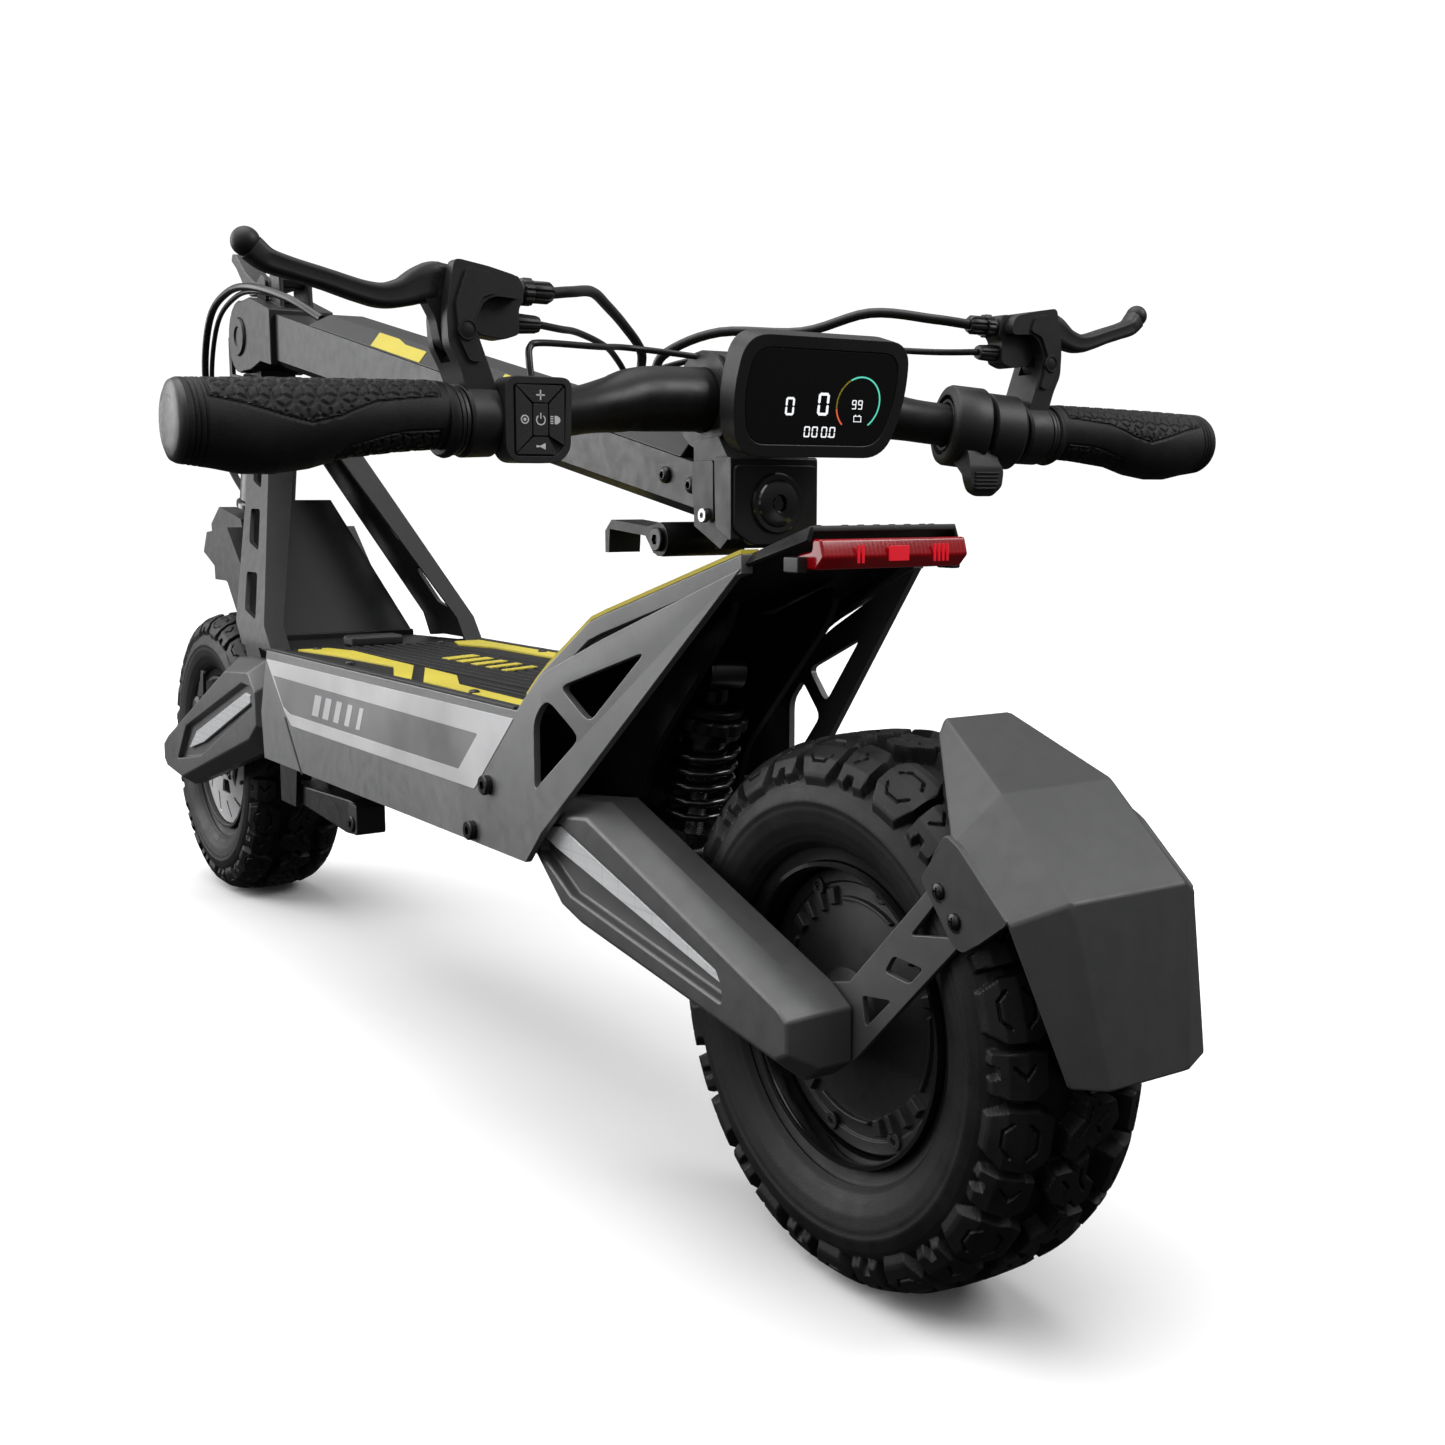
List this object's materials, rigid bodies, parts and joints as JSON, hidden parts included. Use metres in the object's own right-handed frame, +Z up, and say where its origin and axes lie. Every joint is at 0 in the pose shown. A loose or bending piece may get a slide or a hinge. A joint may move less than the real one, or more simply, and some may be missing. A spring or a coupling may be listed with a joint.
{
  "type": "electric kick scooter",
  "caption": "Folding electric kick scooter with fat knobbly tyres, swing-arm suspension, hub motor, disc brake and a stem that folds back over the ribbed deck.",
  "frame": {"origin": "middle of the footprint, on the ground under the tyres", "axes": "+X is the rider's left, +Y is the rear, +Z is up; the stem is folded back over the deck"},
  "size_m": [0.593, 1.2037, 0.57],
  "materials": {
    "grey_paint": "satin grey powder coat",
    "charcoal_paint": "satin black powder coat",
    "black_paint": "semi-gloss black",
    "steel": "brushed",
    "deck_rubber": "ribbed matt",
    "grip_rubber": "textured matt",
    "tyre": "matt",
    "black_plastic": "matt",
    "gloss_plastic": "gloss",
    "battery": "shrink wrap",
    "red_lens": "gloss"
  },
  "bodies": {
    "frame": {"side_plate_left": "grey_paint", "side_plate_right": "grey_paint", "deck_tub": "black_plastic", "deck_plate": "deck_rubber", "battery_pack": "battery", "kick_plate": "charcoal_paint", "shock_mount": "charcoal_paint", "tail_light": "red_lens", "neck_post_left": "charcoal_paint", "neck_post_right": "charcoal_paint", "neck_panel": "charcoal_paint", "head_tube": "grey_paint"},
    "kickstand": {"kickstand_leg": "charcoal_paint"},
    "rear_arm": {"rear_arm_left": "charcoal_paint", "rear_arm_right": "charcoal_paint", "rear_arm_bridge": "charcoal_paint", "rear_axle": "steel", "fender_bracket_left": "charcoal_paint", "fender_bracket_right": "charcoal_paint", "rear_mudguard": "black_plastic"},
    "rear_wheel": {"rear_tyre": "tyre", "rear_hub_motor": "charcoal_paint"},
    "shock_upper": {"shock_body": "charcoal_paint", "shock_spring": "black_paint"},
    "shock_lower": {"shock_rod": "steel"},
    "steer": {"fork_yoke": "grey_paint", "front_pivot_shaft": "steel", "fold_base": "charcoal_paint", "fold_pin": "steel"},
    "front_arm": {"front_arm_left": "charcoal_paint", "front_arm_right": "charcoal_paint", "front_axle": "steel", "brake_caliper": "black_paint"},
    "front_wheel": {"front_tyre": "tyre", "front_rim": "charcoal_paint", "brake_disc": "steel"},
    "stem": {"stem_foot": "grey_paint", "stem_tube": "grey_paint", "stem_cover": "black_plastic", "stem_head": "charcoal_paint", "handlebar": "charcoal_paint", "grip_left": "grip_rubber", "grip_right": "grip_rubber", "lever_housing_left": "black_paint", "lever_housing_right": "black_paint", "throttle_housing": "black_plastic", "control_pad": "black_plastic", "display": "gloss_plastic", "bar_cables": "black_plastic", "front_cable_loop": "black_plastic"},
    "hook": {"folding_hook": "charcoal_paint"},
    "latch": {"fold_latch": "charcoal_paint"},
    "lever_left": {"brake_lever_left": "black_paint"},
    "lever_right": {"brake_lever_right": "black_paint"},
    "throttle": {"thumb_throttle": "black_plastic"},
    "plus_key": {"button_plus": "black_plastic"},
    "mode_key": {"button_mode": "black_plastic"},
    "power_key": {"button_power": "black_plastic"},
    "light_key": {"button_light": "black_plastic"},
    "horn_key": {"button_horn": "black_plastic"}
  },
  "joints": [
    {"name": "steering", "type": "hinge", "parent": "frame", "child": "steer", "pos_m": [0, -0.4145, 0.365], "axis": [0, 0.2419, 0.9703], "range_deg": [-45, 45]},
    {"name": "stem_fold", "type": "hinge", "parent": "steer", "child": "stem", "pos_m": [0, -0.3925, 0.493], "axis": [1, 0, 0], "range_deg": [0, 85], "deforming": ["front_cable_loop"]},
    {"name": "fold_latch_lift", "type": "hinge", "parent": "stem", "child": "latch", "pos_m": [0, -0.3375, 0.534], "axis": [-1, 0, 0], "range_deg": [0, 30]},
    {"name": "folding_hook_swing", "type": "hinge", "parent": "stem", "child": "hook", "pos_m": [0, 0.2815, 0.3385], "axis": [1, 0, 0], "range_deg": [0, 60]},
    {"name": "rear_suspension", "type": "hinge", "parent": "frame", "child": "rear_arm", "pos_m": [0, 0.1905, 0.187], "axis": [1, 0, 0], "range_deg": [-1.5, 4], "stiffness_Nm_per_rad": 900, "springref_deg": -3.44},
    {"name": "rear_wheel_spin", "type": "hinge", "parent": "rear_arm", "child": "rear_wheel", "pos_m": [0, 0.4455, 0.1275], "axis": [1, 0, 0], "continuous": true},
    {"name": "shock_tilt", "type": "hinge", "parent": "frame", "child": "shock_upper", "pos_m": [0, 0.2985, 0.27], "axis": [1, 0, 0], "range_deg": [-1, 1]},
    {"name": "shock_slide", "type": "slide", "parent": "shock_upper", "child": "shock_lower", "axis": [0, 0.2729, 0.962], "range_m": [-0.004, 0.0075], "deforming": ["shock_spring"]},
    {"name": "front_suspension", "type": "hinge", "parent": "steer", "child": "front_arm", "pos_m": [0, -0.2705, 0.187], "axis": [-1, 0, 0], "range_deg": [-1.5, 4], "stiffness_Nm_per_rad": 900, "springref_deg": -3.44},
    {"name": "front_wheel_spin", "type": "hinge", "parent": "front_arm", "child": "front_wheel", "pos_m": [0, -0.4745, 0.1275], "axis": [1, 0, 0], "continuous": true},
    {"name": "kickstand_swing", "type": "hinge", "parent": "frame", "child": "kickstand", "pos_m": [0.06, -0.1725, 0.139], "axis": [-1, 0, 0], "range_deg": [0, 100]},
    {"name": "left_brake_lever", "type": "hinge", "parent": "stem", "child": "lever_left", "pos_m": [0.171, 0.3505, 0.431], "axis": [0, 1, 0], "range_deg": [0, 14], "stiffness_Nm_per_rad": 0.8, "springref_deg": -17.19},
    {"name": "right_brake_lever", "type": "hinge", "parent": "stem", "child": "lever_right", "pos_m": [-0.171, 0.3505, 0.431], "axis": [0, -1, 0], "range_deg": [0, 14], "stiffness_Nm_per_rad": 0.8, "springref_deg": -17.19},
    {"name": "thumb_throttle_turn", "type": "hinge", "parent": "stem", "child": "throttle", "pos_m": [-0.11845, 0.34088, 0.39839], "axis": [-0.9228, 0.3691, -0.1107], "range_deg": [0, 25], "stiffness_Nm_per_rad": 0.15, "springref_deg": -17.19},
    {"name": "plus_button_press", "type": "slide", "parent": "stem", "child": "plus_key", "axis": [0, -1, 0], "range_m": [0, 0.001], "stiffness_N_per_m": 300, "springref_m": -0.001},
    {"name": "mode_button_press", "type": "slide", "parent": "stem", "child": "mode_key", "axis": [0, -1, 0], "range_m": [0, 0.001], "stiffness_N_per_m": 300, "springref_m": -0.001},
    {"name": "power_button_press", "type": "slide", "parent": "stem", "child": "power_key", "axis": [0, -1, 0], "range_m": [0, 0.001], "stiffness_N_per_m": 300, "springref_m": -0.001},
    {"name": "light_button_press", "type": "slide", "parent": "stem", "child": "light_key", "axis": [0, -1, 0], "range_m": [0, 0.001], "stiffness_N_per_m": 300, "springref_m": -0.001},
    {"name": "horn_button_press", "type": "slide", "parent": "stem", "child": "horn_key", "axis": [0, -1, 0], "range_m": [0, 0.001], "stiffness_N_per_m": 300, "springref_m": -0.001}
  ],
  "couplings": [
    {"joint": "shock_tilt", "follows": "rear_suspension", "ratio": -0.01127},
    {"joint": "shock_slide", "follows": "rear_suspension", "m_per_rad": 0.08125}
  ]
}
